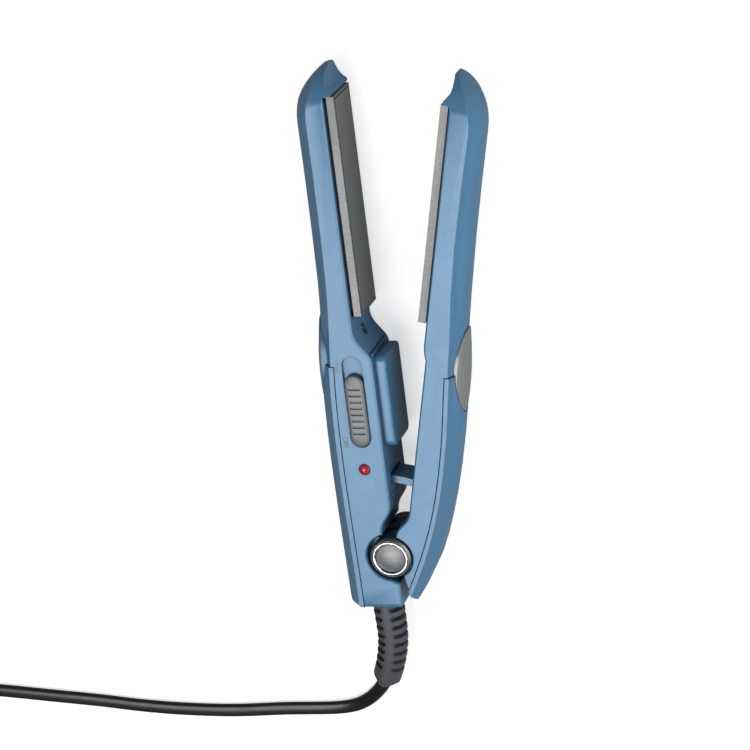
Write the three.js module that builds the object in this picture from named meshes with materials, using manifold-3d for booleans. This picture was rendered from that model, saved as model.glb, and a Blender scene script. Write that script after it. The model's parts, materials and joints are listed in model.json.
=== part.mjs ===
// A small hair straightener: two hinged arms with heated plates, lying on its side.
// Millimetres, +Z up. The origin is on the hinge axis, at the face of the rear hinge cap
// that the iron rests on. +Y runs from the hinge to the tips, +X towards the lever arm.

import * as THREE from 'three';
import { mergeVertices } from 'three/addons/utils/BufferGeometryUtils.js';
import Module from 'manifold-3d';

const wasm = await Module();
wasm.setup();

// ---------- driving dimensions ----------

const GAP = 0.3;                 // clearance between pieces that touch

const ARM_WIDTH = 24;            // across the two flat sides of an arm
const RIDGE_WIDTH = 14;          // across the crowned back
const WALL = 2.1;                // moulded wall
const EDGE = 0.6;                // rounding of an arm's inner edges
const NOSE_REACH = 10.4;         // plates' upper end to the tip of the nose
const NOSE_LENGTH = 12.4;        // over which the flat sides draw in
const NOSE_BEND = 21.4;          // over which the backs bend down to the tip
const NOSE_BREAK = 0.26;         // how sharply the flat sides start to draw in
const OPEN_ANGLE = 12.5;         // degrees between the arms at rest

const PLATE_WIDTH = 19;          // across the heated face
const PLATE_LENGTH = 82.7;
const PLATE_START = 95.3;        // hinge axis to the plates' lower end
const PLATE_DEPTH = 3;           // aluminium block under the coated face
const FACE_THICKNESS = 0.6;      // coated sheet let into the block
const FACE_RIM = 0.9;            // rim of the block left round the sheet
const SHUT_GAP = 0.3;            // between the two faces when the jaws are shut

const PLATE_LIP = 3.9;           // closing plane to the arm's edge beside a plate
const BASE_INNER = -2.1;         // closing plane to the base handle's inner face
const LEVER_INNER = 5.1;         // closing plane to the lever handle's inner face
const COVER_TOP = 76.4;          // upper end of the handle covers
const COVER_PROUD = 0.7;         // the covers stand proud of the housings
const SWOOP_TOP = 90;            // the housings swell from here down to the handles
const BASE_FOOT = -21.3;         // lower end of the base arm
const FOOT_ROUND = 2;            // rounding between its flat sides and its end
const FOOT_CORNER = 5.5;         // rounded corner between its back and its end
const TAIL_END = -17.4;          // lower end of the lever arm

const CAP_RADIUS = 8;            // hinge caps
const CAP_PROUD = 1.2;           // they stand proud of the flat sides
const CAP_SEAT = 3;              // and sit this deep in the arms
const PIN_RADIUS = 2.4;
const EAR_RADIUS = 7.2;          // knuckles round the hinge pin
const EAR_THICKNESS = 2.6;
const EAR_ROOT = 5.5;            // half the width of the web behind a knuckle
const POCKET_RADIUS = 9.4;       // clearance round the cap in the base arm
const SPRING_WIRE = 1.3;
const SPRING_RADIUS = 4.6;
const SPRING_TURNS = 3;

const SLOT_Y = 44.7;             // lower end of the switch recess
const SLOT_LENGTH = 36.1;
const SLOT_X = -5.6;
const SLOT_WIDTH = 7.9;
const SLOT_DEPTH = 1.2;
const KNOB_LENGTH = 28.3;
const KNOB_WIDTH = 7.3;
const KNOB_END_GAP = 0.5;        // from the button to either end of the recess
const KNOB_PROUD = 1;            // the switch button's height above the flat side
const STUB_WIDTH = 2;            // the button's stub, which passes through the housing
const STUB_LENGTH = 4;
const KNOB_ROUND = 0.7;
const KNOB_RIBS = 8;
const RIB_PITCH = 2.5;
const RIB_LENGTH = 4.6;
const RIB_WIDTH = 0.8;
const LED_X = -5.8;
const LED_Y = 35.9;
const LED_RADIUS = 2.05;

const BLOCK_HEIGHT = 4.6;        // raised block on the base's inner cover
const BLOCK_WIDTH = 18.4;
const BLOCK_BOTTOM = 43.8;
const BLOCK_TOP = 79.6;
const BLOCK_ROOM = 1;            // clearance round the block when the jaws are shut
const INNER_COVER_START = 24.5;
const INNER_COVER_WIDTH = 20;
const INNER_COVER_THICKNESS = 1.8;
const SCREW_Y = 87.2;            // recessed screw in the swoop above the block
const SCREW_RADIUS = 2.1;

const TONGUE_RADIUS = 29.5;      // guide tongue, centred on the hinge axis
const TONGUE_THICKNESS = 2.9;
const TONGUE_WIDTH = 11.4;
const TONGUE_REACH = 14.6;       // degrees past the closing plane

const BADGE_LENGTH = 33;         // domed oval on each arm's back
const BADGE_WIDTH = 16.8;
const BADGE_Y = 76.8;
const BADGE_PROUD = 1.4;         // at its middle
const BADGE_DROP = 3.7;          // from its middle line to its long edges
const BADGE_SEAT = 0.8;

const HEATER_WIDTH = 14;
const HEATER_LENGTH = 64;
const HEATER_THICKNESS = 2;
const LEAD_RADIUS = 0.75;        // leads inside the base arm
const BOARD_LENGTH = 40;
const BOARD_WIDTH = 11;
const BOARD_THICKNESS = 1.2;

const BOOT_X = -7.6;             // strain relief
const BOOT_RADIUS = 6.2;         // where it leaves the base arm
const BOOT_END_RADIUS = 5.5;
const BOOT_NECK = 4.4;           // radius of the neck in the base arm's end wall
const BOOT_FLANGE = 1.4;         // the flange inside stands out this far
const BOOT_CORE = 3.3;           // radius left inside the slots
const BOOT_SPINE = 1.5;          // half the width of the spine between the slots
const SLOT_COUNT = 8;            // on each side
const SLOT_FIRST = 4;            // from the arm to the first slot
const SLOT_PITCH = 3.6;
const SLOT_HEIGHT = 1.8;
const CORD_WIDTH = 5.4;
const CORD_THICKNESS = 2.7;
const COIL_RADIUS = 30;          // middle of the turns
const COIL_BUILD = 16.8;         // radial build of the wound cord
const COIL_HEIGHT = 8.8;
const COIL_X = -228;
const COIL_Y = -43.2;
const PLUG_X = -257;
const PLUG_Y = -8;
const PLUG_NECK = 11;            // tapered strain relief of the plug
const PLUG_LENGTH = 23;
const PLUG_WIDTH = 24;
const PLUG_HEIGHT = 14.5;
const BLADE_SPACING = 12.7;
const BLADE_LENGTH = 17;
const BLADE_WIDTH = 6.35;
const BLADE_THICKNESS = 1.5;

// ---------- sizes that follow ----------

const HALF = ARM_WIDTH / 2;
const MID_Z = CAP_PROUD + HALF;
const RIDGE_HALF = RIDGE_WIDTH / 2;
const PLATE_END = PLATE_START + PLATE_LENGTH;
const PLATE_FACE = SHUT_GAP / 2;
const PLATE_BACK = PLATE_FACE + PLATE_DEPTH;
const TIP_Y = PLATE_END + NOSE_REACH;
const NOSE_START = TIP_Y - NOSE_LENGTH;
const TROUGH_FLOOR = PLATE_BACK + 7.45;         // back of the carriers' trough
const OPEN = THREE.MathUtils.degToRad(OPEN_ANGLE);
const INNER_HALF = HALF - WALL;
const KNOB_START = SLOT_Y + KNOB_END_GAP;
const KNOB_MIDDLE = KNOB_START + KNOB_LENGTH / 2;
const KNOB_TRAVEL = SLOT_LENGTH - KNOB_LENGTH - 2 * KNOB_END_GAP;
const CAP_FLOOR = HALF - CAP_SEAT;              // inner face of each hinge cap
const LEVER_EAR_TOP = CAP_FLOOR - GAP;
const LEVER_EAR_LOW = LEVER_EAR_TOP - EAR_THICKNESS;
const BASE_EAR_TOP = LEVER_EAR_LOW - GAP;
const BASE_EAR_LOW = BASE_EAR_TOP - EAR_THICKNESS;

// ---------- solids ----------

function solidOf(geometry) {
  const bare = geometry.index ? geometry.toNonIndexed() : geometry.clone();
  bare.deleteAttribute('normal');
  bare.deleteAttribute('uv');
  const merged = mergeVertices(bare, 1e-4);
  return new wasm.Manifold(new wasm.Mesh({
    numProp: 3,
    vertProperties: new Float32Array(merged.attributes.position.array),
    triVerts: new Uint32Array(merged.index.array),
  }));
}

function geometryOf(solid) {
  const mesh = solid.getMesh();
  const geometry = new THREE.BufferGeometry();
  geometry.setAttribute('position', new THREE.BufferAttribute(mesh.vertProperties, 3));
  geometry.setIndex(new THREE.BufferAttribute(mesh.triVerts, 1));
  geometry.computeVertexNormals();
  return geometry;
}

const cut = (solid, ...tools) => tools.reduce((rest, tool) => rest.subtract(tool), solid);
const join = (...solids) => solids.reduce((all, one) => all.add(one));

// A closed skin through rings of points, with each end closed round its middle.
function loft(rings) {
  const count = rings[0].length;
  const points = rings.flat();
  const ends = [rings[0], rings[rings.length - 1]].map((ring) => {
    const middle = new THREE.Vector3();
    ring.forEach((point) => middle.addScaledVector(point, 1 / count));
    return points.push(middle) - 1;
  });
  const index = [];
  for (let row = 0; row < rings.length - 1; row++) {
    for (let i = 0; i < count; i++) {
      const a = row * count + i;
      const b = row * count + (i + 1) % count;
      index.push(a, b, b + count, a, b + count, a + count);
    }
  }
  const last = (rings.length - 1) * count;
  for (let i = 0; i < count; i++) {
    const next = (i + 1) % count;
    index.push(ends[0], next, i);
    index.push(ends[1], last + i, last + next);
  }
  if (volumeOf(points, index) < 0) {
    for (let i = 0; i < index.length; i += 3) {
      [index[i], index[i + 1]] = [index[i + 1], index[i]];
    }
  }
  const geometry = new THREE.BufferGeometry().setFromPoints(points);
  geometry.setIndex(index);
  return solidOf(geometry);
}

function volumeOf(points, index) {
  let volume = 0;
  for (let i = 0; i < index.length; i += 3) {
    const [a, b, c] = [points[index[i]], points[index[i + 1]], points[index[i + 2]]];
    volume += a.dot(b.clone().cross(c)) / 6;
  }
  return volume;
}

// An outline in X and Y, between two heights, with its rims rounded by bevel.
function slab(outline, low, high, bevel = 0) {
  const points = outline instanceof THREE.Shape ? outline.getPoints(6) : outline;
  const shape = new THREE.Shape(points.filter((point, i) =>
    point.distanceTo(points[(i + 1) % points.length]) > 0.02));
  const geometry = new THREE.ExtrudeGeometry(shape, {
    depth: high - low - 2 * bevel,
    bevelEnabled: bevel > 0,
    bevelThickness: bevel,
    bevelSize: bevel,
    bevelOffset: -bevel,
    bevelSegments: bevel > 0.65 ? 2 : 1,
  });
  return solidOf(geometry.translate(0, 0, low + bevel));
}

function box(x0, x1, y0, y1, z0, z1) {
  const geometry = new THREE.BoxGeometry(x1 - x0, y1 - y0, z1 - z0);
  return solidOf(geometry.translate((x0 + x1) / 2, (y0 + y1) / 2, (z0 + z1) / 2));
}

// A round bar along Z.
function bar(radius, low, high, x = 0, y = 0, sides = 32) {
  const geometry = new THREE.CylinderGeometry(radius, radius, high - low, sides);
  return solidOf(geometry.rotateX(Math.PI / 2).translate(x, y, (low + high) / 2));
}

// A profile of [radius, height] points turned about Z.
function turned(profile, sides = 36) {
  const points = profile.map(([radius, height]) => new THREE.Vector2(radius, height));
  return solidOf(new THREE.LatheGeometry(points, sides).rotateX(Math.PI / 2));
}

// Points along an arc round the origin.
function arc(radius, from, to, steps) {
  return Array.from({ length: steps + 1 }, (_, i) => {
    const angle = THREE.MathUtils.lerp(from, to, i / steps);
    return new THREE.Vector2(radius * Math.cos(angle), radius * Math.sin(angle));
  });
}

// A round-ended slot along Y.
function stadium(x, y0, y1, width) {
  const r = width / 2;
  const shape = new THREE.Shape();
  shape.absarc(x, y1 - r, r, 0, Math.PI);
  shape.absarc(x, y0 + r, r, Math.PI, 2 * Math.PI);
  return shape;
}

// A rectangle with rounded corners.
function roundedRect(x0, x1, y0, y1, r) {
  const shape = new THREE.Shape();
  shape.absarc(x1 - r, y1 - r, r, 0, Math.PI / 2);
  shape.absarc(x0 + r, y1 - r, r, Math.PI / 2, Math.PI);
  shape.absarc(x0 + r, y0 + r, r, Math.PI, 1.5 * Math.PI);
  shape.absarc(x1 - r, y0 + r, r, 1.5 * Math.PI, 2 * Math.PI);
  return shape;
}

// A round tube along a curve. radiusAt gives its radius at a share of its length.
function tube(curve, radiusAt, steps, sides = 8) {
  const frames = curve.computeFrenetFrames(steps, false);
  return loft(Array.from({ length: steps + 1 }, (_, i) => {
    const centre = curve.getPointAt(i / steps);
    const radius = radiusAt(i / steps);
    return Array.from({ length: sides }, (__, k) => {
      const angle = (2 * Math.PI * k) / sides;
      return centre.clone()
        .addScaledVector(frames.normals[i], radius * Math.cos(angle))
        .addScaledVector(frames.binormals[i], radius * Math.sin(angle));
    });
  }));
}

// ---------- the arms' outside ----------
// Arms are drawn with u, the distance outwards from the closing plane, as x.
// The lever keeps x = u, and the base arm is turned over, x = -u.

// A smooth run through [y, u] points.
function run(points) {
  const curve = new THREE.CatmullRomCurve3(
    points.map(([y, u]) => new THREE.Vector3(y, u, 0)), false, 'chordal');
  const samples = curve.getPoints(points.length * 12);
  return (y) => {
    let i = 1;
    while (i < samples.length - 1 && samples[i].x < y) i++;
    const a = samples[i - 1];
    const b = samples[i];
    const t = THREE.MathUtils.clamp((y - a.x) / (b.x - a.x), 0, 1);
    return a.y + t * (b.y - a.y);
  };
}

// How much of its full width an arm has at y.
const widthShare = (y) => {
  const nose = THREE.MathUtils.clamp((y - NOSE_START) / (NOSE_LENGTH + 0.5), 0, 1);
  return 1 - NOSE_BREAK * nose - (1 - NOSE_BREAK) * (1 - Math.sqrt(1 - nose * nose));
};

// The end of the base arm is rounded over its flat sides.
const footInset = (y) => {
  const t = THREE.MathUtils.clamp((BASE_FOOT + FOOT_ROUND - y) / FOOT_ROUND, 0, 1);
  return FOOT_ROUND * (1 - Math.sqrt(1 - t * t));
};

// A level that bends down to the tip of the nose.
const bent = (level, tip) => (y) => {
  const t = THREE.MathUtils.clamp((y - TIP_Y + NOSE_BEND) / NOSE_BEND, 0, 1);
  return level(y) - (level(y) - tip) * t ** 2.4;
};

// The barrel round the plates: where its flat sides end, and the rim and top of its crown.
const BASE_BARREL = { flat: 11, ridge: 15.4, crown: 17.7 };
const LEVER_BARREL = { flat: 12.1, ridge: 14.3, crown: 15.9 };
const BARREL_START = SWOOP_TOP + 15;
const BARREL_TRUE = SWOOP_TOP + 36;

// Distances from the closing plane, along each arm.
const baseBody = {
  flat: bent(run([[-30, 14.2], [COVER_TOP, 13.9], [SWOOP_TOP + 4, 12.4],
    [BARREL_START, 11.6], [BARREL_TRUE, BASE_BARREL.flat], [TIP_Y, BASE_BARREL.flat]]), 3.8),
  ridge: bent(run([[-30, 18.4], [0.8 * COVER_TOP, 18.7], [COVER_TOP, 18], [SWOOP_TOP, 16.8],
    [BARREL_START, 15.9], [BARREL_TRUE, BASE_BARREL.ridge], [TIP_Y, BASE_BARREL.ridge]]), 4.8),
  crown: bent(run([[-30, 20.4], [0.8 * COVER_TOP, 20.8], [COVER_TOP, 20.1], [SWOOP_TOP, 18.9],
    [BARREL_START, 18], [BARREL_TRUE, BASE_BARREL.crown], [TIP_Y, BASE_BARREL.crown]]), 5),
};

const leverBody = {
  flat: bent(run([[-30, 4.6], [-13, 9.2], [0, 12.2], [21, 15.2], [43, 15.8], [COVER_TOP, 14],
    [SWOOP_TOP + 4, 13], [BARREL_START, LEVER_BARREL.flat], [TIP_Y, LEVER_BARREL.flat]]), 3.8),
  ridge: bent(run([[-30, 6], [-15, 11.2], [0, 15], [21, 17.2], [43, 17.9], [COVER_TOP, 16.5],
    [SWOOP_TOP, 15.5], [BARREL_START, 14.8], [BARREL_TRUE, LEVER_BARREL.ridge],
    [TIP_Y, LEVER_BARREL.ridge]]), 4.8),
  crown: bent(run([[-30, 7], [-17, 10.6], [0, 16], [21, 18.8], [43, 19.6], [COVER_TOP, 18.3],
    [SWOOP_TOP, 17.2], [BARREL_START, 16.5], [BARREL_TRUE, LEVER_BARREL.crown],
    [TIP_Y, LEVER_BARREL.crown]]), 5),
};

// Where the arms' skins have their sections: close together where they bend.
const LOW_END = BASE_FOOT - 4;
const SPAN = PLATE_END - SWOOP_TOP;
const STATIONS = [
  ...[0.02, 0.3, 0.6, 1].map((t) => BASE_FOOT + t * FOOT_ROUND),
  ...[-0.19, -0.1, 0, 0.11, 0.22, 0.35, 0.5, 0.66, 0.82, 0.92, 1].map((t) => t * COVER_TOP),
  ...[0.3, 0.55, 0.8, 1, 1.25, 1.6].map((t) => COVER_TOP + t * (SWOOP_TOP - COVER_TOP)),
  ...[0.2, 0.42, 0.68].map((t) => SWOOP_TOP + t * SPAN),
  TIP_Y - NOSE_BEND, TIP_Y - 0.85 * NOSE_BEND, TIP_Y - 0.7 * NOSE_BEND,
  ...[0, 0.15, 0.3, 0.45, 0.6, 0.73, 0.84, 0.92, 0.97, 1].map((t) => NOSE_START + t * NOSE_LENGTH),
];
const HOLLOW_STATIONS = STATIONS.filter((_, i) => i % 4 === 0);

// The outside of an arm from u = -8 out to its back: flat sides, coved shoulders, a crown.
function armSkin(side, body, inset = 0, low = LOW_END, high = TIP_Y) {
  const rows = (inset > 0 ? HOLLOW_STATIONS : STATIONS).filter((y) => y > low + 0.5 && y < high - 0.5);
  return loft([low, ...rows, high].map((y) => {
    const share = widthShare(y);
    const half = (HALF - (inset > 0 ? 0 : footInset(y))) * share - inset;
    const ridgeHalf = (RIDGE_HALF - 0.45 * inset) * share;
    const flat = body.flat(y) - 0.45 * inset;
    const ridge = body.ridge(y) - inset;
    const crown = body.crown(y) - inset;
    const upper = [[-8, half], [flat, half]];
    const cove = new THREE.QuadraticBezierCurve(
      new THREE.Vector2(flat, half),
      new THREE.Vector2(flat + 0.35 * (ridge - flat), ridgeHalf + 0.35 * (half - ridgeHalf)),
      new THREE.Vector2(ridge, ridgeHalf));
    cove.getPoints(inset > 0 ? 2 : 3).slice(1).forEach((point) => upper.push([point.x, point.y]));
    for (let k = 1; k < 3; k++) {
      const w = ridgeHalf * (1 - k / 3);
      upper.push([crown - (crown - ridge) * (w / ridgeHalf) ** 2, w]);
    }
    const lower = upper.map(([u, w]) => [u, -w]).reverse();
    return [...upper, [crown, 0], ...lower].map(([u, w]) => new THREE.Vector3(side * u, y, w));
  }));
}

const mirrorX = (points, side) => points.map((point) => new THREE.Vector2(side * point.x, point.y));

// The inner edge beside a plate and round the nose, the same on both arms.
function noseEdge(path) {
  path.lineTo(4.2, TIP_Y + 2);
  path.lineTo(2.9, TIP_Y - 0.3);
  path.quadraticCurveTo(3.9, TIP_Y - 3, 3.3, TIP_Y - 5.6);
  path.quadraticCurveTo(2.6, PLATE_END + 2.4, PLATE_FACE + 1.1, PLATE_END + 1.6);
  path.lineTo(PLATE_FACE + 1.1, PLATE_END + GAP);
  path.lineTo(PLATE_LIP, PLATE_END + GAP);
}

function baseOutline() {
  const r = POCKET_RADIUS;
  const path = new THREE.Shape();
  path.moveTo(30, TIP_Y + 2);
  noseEdge(path);
  path.lineTo(PLATE_LIP, SWOOP_TOP);
  path.bezierCurveTo(PLATE_LIP, SWOOP_TOP - 5, BASE_INNER, SWOOP_TOP - 8, BASE_INNER, SWOOP_TOP - 12);
  path.lineTo(BASE_INNER, 21);
  path.bezierCurveTo(BASE_INNER, 16, 2.4, 15.5, 2.6, r * Math.cos(0.28));
  path.absarc(0, 0, r, Math.PI / 2 - 0.28, -Math.PI / 2 + 0.12, true);
  path.lineTo(BASE_INNER, -r - 1.4);
  path.lineTo(BASE_INNER, BASE_FOOT + 2);
  path.quadraticCurveTo(BASE_INNER, BASE_FOOT, BASE_INNER + 2, BASE_FOOT);
  const back = baseBody.crown(BASE_FOOT);
  path.lineTo(back - FOOT_CORNER, BASE_FOOT);
  path.quadraticCurveTo(back, BASE_FOOT, back + 0.5, BASE_FOOT + FOOT_CORNER);
  path.lineTo(30, BASE_FOOT + FOOT_CORNER);
  return path.getPoints(8);
}

function leverOutline() {
  const path = new THREE.Shape();
  const r = CAP_RADIUS + GAP;
  path.moveTo(30, TIP_Y + 2);
  noseEdge(path);
  path.lineTo(PLATE_LIP, BLOCK_TOP + 8);
  path.quadraticCurveTo(PLATE_LIP, BLOCK_TOP + 5, LEVER_INNER, BLOCK_TOP + 2);
  path.lineTo(LEVER_INNER, 20);
  path.bezierCurveTo(LEVER_INNER, 14.5, 0.8, 14, 0.8, Math.sqrt(r * r - 0.64));
  path.absarc(0, 0, r, Math.PI / 2 - 0.1, -0.86, true);
  path.quadraticCurveTo(6, -9, 9.6, TAIL_END + 2.2);
  path.quadraticCurveTo(10.6, TAIL_END - 1, 13, TAIL_END + 1);
  path.lineTo(30, TAIL_END + 7);
  return path.getPoints(8);
}

// ---------- materials ----------

const finish = (color, roughness, metalness = 0) =>
  new THREE.MeshStandardMaterial({ color, roughness, metalness });

const bluePlastic = finish(0x84a8cb, 0.35, 0.1);
const coveBlue = finish(0x6f97be, 0.4, 0.1);
const silver = finish(0xb4b8ba, 0.3, 0.8);
const chrome = finish(0xe4e6e8, 0.1, 1);
const brushed = finish(0xa9adae, 0.35, 0.9);
const aluminium = finish(0xc9cccb, 0.4, 0.9);
const coatedFace = finish(0x82877f, 0.3, 0.4);
const greyPlastic = finish(0xa7aaab, 0.45);
const redLens = finish(0xc01a1a, 0.15);
const darkRubber = finish(0x46464d, 0.55);
const cordBlack = finish(0x17171a, 0.3);
const steel = finish(0x9b9da0, 0.3, 1);
const ceramic = finish(0xe9e4d8, 0.7);
const heatPlastic = finish(0x2b2a28, 0.6);
const boardGreen = finish(0x2f6b3c, 0.5);
const switchBlack = finish(0x1b1b1d, 0.5);
const redWire = finish(0xa32b22, 0.45);
const whiteWire = finish(0xdad7cf, 0.45);

const model = new THREE.Group();
const baseArm = new THREE.Group();
baseArm.position.z = MID_Z;
const leverArm = new THREE.Group();
leverArm.position.z = MID_Z;
leverArm.rotation.z = -OPEN;
model.add(baseArm, leverArm);

function piece(group, name, solid, material) {
  const mesh = new THREE.Mesh(geometryOf(solid), material);
  mesh.name = name;
  group.add(mesh);
}

// ---------- shared cutters ----------

// Everything outside the seam between a housing and its handle cover.
function coverRegion(side, body, grow) {
  const seam = [];
  for (let y = -30; y <= COVER_TOP; y += 7.6) seam.push(new THREE.Vector2(body.flat(y) - 1.1 - grow, y));
  seam.push(new THREE.Vector2(body.flat(COVER_TOP) - 1.1 - grow, COVER_TOP + grow));
  seam.push(new THREE.Vector2(40, COVER_TOP + grow), new THREE.Vector2(40, -30));
  return slab(mirrorX(seam, side), -HALF - 5, HALF + 5);
}

// The oval let into an arm's back.
function ovalBar(side, grow) {
  const geometry = new THREE.CylinderGeometry(1, 1, 20, 40).rotateZ(Math.PI / 2);
  geometry.scale(1, BADGE_LENGTH / 2 + grow, BADGE_WIDTH / 2 + grow);
  return solidOf(geometry.translate(side * 20, BADGE_Y, 0));
}

// A dome over an arm's back, highest at the oval's middle.
function domeSkin(side, body) {
  const reach = BADGE_LENGTH / 2 + 1;
  const half = BADGE_WIDTH / 2;
  return loft(Array.from({ length: 9 }, (_, i) => {
    const t = i / 4 - 1;
    const y = BADGE_Y + t * reach;
    const top = body.crown(y) + BADGE_PROUD * (1 - 0.7 * t * t);
    const upper = [[-8, half + 1]];
    for (let k = 0; k <= 4; k++) {
      const share = 1 - k / 4;
      upper.push([top - BADGE_DROP * share * share, share * (half + 1)]);
    }
    const lower = upper.slice(0, -1).map(([u, w]) => [u, -w]).reverse();
    return [...upper, ...lower].map(([u, w]) => new THREE.Vector3(side * u, y, w));
  }));
}

function ovalBadge(side, body) {
  return cut(domeSkin(side, body).intersect(ovalBar(side, 0)),
    armSkin(side, body, BADGE_SEAT - GAP));
}

const ovalSeat = (side, body) => cut(ovalBar(side, GAP), armSkin(side, body, BADGE_SEAT));

// The trough that holds a plate, its heater and their carrier.
function plateTrough(side) {
  const half = PLATE_WIDTH / 2 + GAP;
  const [a, b] = [-9 * side, TROUGH_FLOOR * side].sort((p, q) => p - q);
  return box(a, b, PLATE_START - GAP, PLATE_END + GAP, -half, half);
}

function spanBox(side, u0, u1, y0, y1, w0, w1) {
  const [a, b] = [side * u0, side * u1].sort((p, q) => p - q);
  return box(a, b, y0, y1, w0, w1);
}

// ---------- plates and heaters ----------

function platePieces(group, side, name) {
  const half = PLATE_WIDTH / 2;
  const y0 = PLATE_START;
  const y1 = PLATE_END;
  const seat = PLATE_FACE + FACE_THICKNESS;
  const frame = cut(
    spanBox(side, PLATE_FACE + 0.15, PLATE_BACK, y0, y1, -half, half),
    spanBox(side, -2, seat + GAP, y0 + FACE_RIM, y1 - FACE_RIM, -half + FACE_RIM, half - FACE_RIM));
  piece(group, `${name}_plate_frame`, frame, aluminium);
  const inset = FACE_RIM + GAP;
  piece(group, `${name}_plate_face`,
    spanBox(side, PLATE_FACE, seat, y0 + inset, y1 - inset, -half + inset, half - inset), coatedFace);
  const middle = (y0 + y1) / 2;
  const heaterIn = PLATE_BACK + GAP;
  const heaterOut = heaterIn + HEATER_THICKNESS;
  piece(group, `${name}_heater`, spanBox(side, heaterIn, heaterOut,
    middle - HEATER_LENGTH / 2, middle + HEATER_LENGTH / 2,
    -HEATER_WIDTH / 2, HEATER_WIDTH / 2), ceramic);
  const carrier = cut(
    spanBox(side, heaterIn, TROUGH_FLOOR - GAP, y0 + 2, y1 - 2, -half + 0.4, half - 0.4),
    spanBox(side, heaterIn - 2, heaterOut + GAP, middle - HEATER_LENGTH / 2 - GAP,
      middle + HEATER_LENGTH / 2 + GAP, -HEATER_WIDTH / 2 - GAP, HEATER_WIDTH / 2 + GAP),
    spanBox(side, heaterOut + 1.6, TROUGH_FLOOR, y0, y1, -HEATER_WIDTH / 2 + 1, HEATER_WIDTH / 2 - 1));
  piece(group, `${name}_heater_carrier`, carrier, heatPlastic);
}

// ---------- base arm ----------

function basePieces() {
  const side = -1;
  const skin = armSkin(side, baseBody).intersect(
    slab(mirrorX(baseOutline(), side), -HALF, HALF, EDGE));
  const proudSkin = armSkin(side, baseBody, -COVER_PROUD).intersect(
    slab(mirrorX(baseOutline(), side), -HALF, HALF));

  // The hollow of the handle keeps a wall along the throat and round the hinge.
  const hollow = armSkin(side, baseBody, WALL, BASE_FOOT + 4, COVER_TOP - 2).intersect(
    slab(roundedRect(-30, -BASE_INNER - 1.9, 0, 100, 1), -HALF, HALF)
      .add(slab(roundedRect(-30, -12, -30, 100, 1), -HALF, HALF)));
  const hinge = bar(POCKET_RADIUS + WALL, -HALF, HALF);
  const throat = slab([
    new THREE.Vector2(3, 24), new THREE.Vector2(-0.5, 20), new THREE.Vector2(-5, 13),
    new THREE.Vector2(-5, 0), new THREE.Vector2(3, 0)], -HALF, HALF);
  const lowerHollow = armSkin(side, baseBody, WALL, BASE_FOOT + 3.4, 0).intersect(
    slab(roundedRect(-30, -BASE_INNER - WALL, -30, 0, 1), -HALF, HALF));
  const cavity = cut(join(hollow, lowerHollow), hinge, throat);

  const ears = [1, -1].map((up) => {
    const [low, high] = [up * BASE_EAR_LOW, up * BASE_EAR_TOP].sort((a, b) => a - b);
    return join(bar(EAR_RADIUS, low, high), box(-POCKET_RADIUS - 1, 0, -EAR_ROOT, EAR_ROOT, low, high));
  });
  const coverHalf = INNER_COVER_WIDTH / 2;
  const coverEnd = BLOCK_TOP + 1.2;
  const innerSeat = spanBox(side, BASE_INNER - 1, BASE_INNER + INNER_COVER_THICKNESS + GAP,
    INNER_COVER_START - GAP, coverEnd + GAP, -coverHalf - GAP, coverHalf + GAP);
  const recess = slab(stadium(SLOT_X, SLOT_Y, SLOT_Y + SLOT_LENGTH, SLOT_WIDTH),
    HALF - SLOT_DEPTH, HALF + 2);
  const slit = slab(stadium(SLOT_X, KNOB_MIDDLE - STUB_LENGTH / 2 - 1,
    KNOB_MIDDLE + KNOB_TRAVEL + STUB_LENGTH / 2 + 1, STUB_WIDTH + 0.8), 0, HALF + 2);
  const housing = cut(join(cut(skin, cavity), ...ears),
    coverRegion(side, baseBody, GAP), plateTrough(side), ovalSeat(side, baseBody), innerSeat,
    recess, slit,
    bar(PIN_RADIUS + GAP, -HALF - 1, HALF + 1),
    bar(LED_RADIUS + 0.2, 0, HALF + 1, LED_X, LED_Y, 24),
    screwRecess(side),
    boreAlongY(BOOT_X, BOOT_NECK + GAP, BASE_FOOT - 2, BASE_FOOT + 8));
  piece(baseArm, 'base_housing', largest(housing), bluePlastic);

  const coverShell = cut(proudSkin.intersect(coverRegion(side, baseBody, 0)),
    armSkin(side, baseBody, WALL, BASE_FOOT + 2.2, COVER_TOP - 1.6), ovalSeat(side, baseBody));
  piece(baseArm, 'base_cover', largest(coverShell), coveBlue);
  piece(baseArm, 'base_thumb_pad', ovalBadge(side, baseBody), bluePlastic);

  const block = slab(roundedRect(BLOCK_BOTTOM, BLOCK_TOP, -BLOCK_WIDTH / 2, BLOCK_WIDTH / 2, 2.5),
    0, BLOCK_HEIGHT + 0.6, 0.8);
  const turn = new THREE.Matrix4().makeBasis(
    new THREE.Vector3(0, 1, 0), new THREE.Vector3(0, 0, 1), new THREE.Vector3(1, 0, 0));
  const blockGeometry = geometryOf(block).applyMatrix4(turn).translate(-BASE_INNER - 0.6, 0, 0);
  const innerCover = cut(
    join(spanBox(side, BASE_INNER, BASE_INNER + INNER_COVER_THICKNESS, INNER_COVER_START,
      coverEnd, -coverHalf, coverHalf), solidOf(blockGeometry)),
    box(-2, 4, TONGUE_RADIUS - TONGUE_THICKNESS / 2 - 0.6, TONGUE_RADIUS + TONGUE_THICKNESS / 2 + 1,
      -TONGUE_WIDTH / 2 - 0.5, TONGUE_WIDTH / 2 + 0.5));
  piece(baseArm, 'base_inner_cover', innerCover, bluePlastic);
  platePieces(baseArm, side, 'base');
}

// The recess for a screw's head, sunk into the swoop above the block.
function screwRecess(side) {
  const depth = PLATE_LIP + 1;
  const geometry = new THREE.CylinderGeometry(SCREW_RADIUS, SCREW_RADIUS, 10, 20);
  return solidOf(geometry.rotateZ(Math.PI / 2).translate(side * (depth - 5), SCREW_Y, 0));
}

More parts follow.
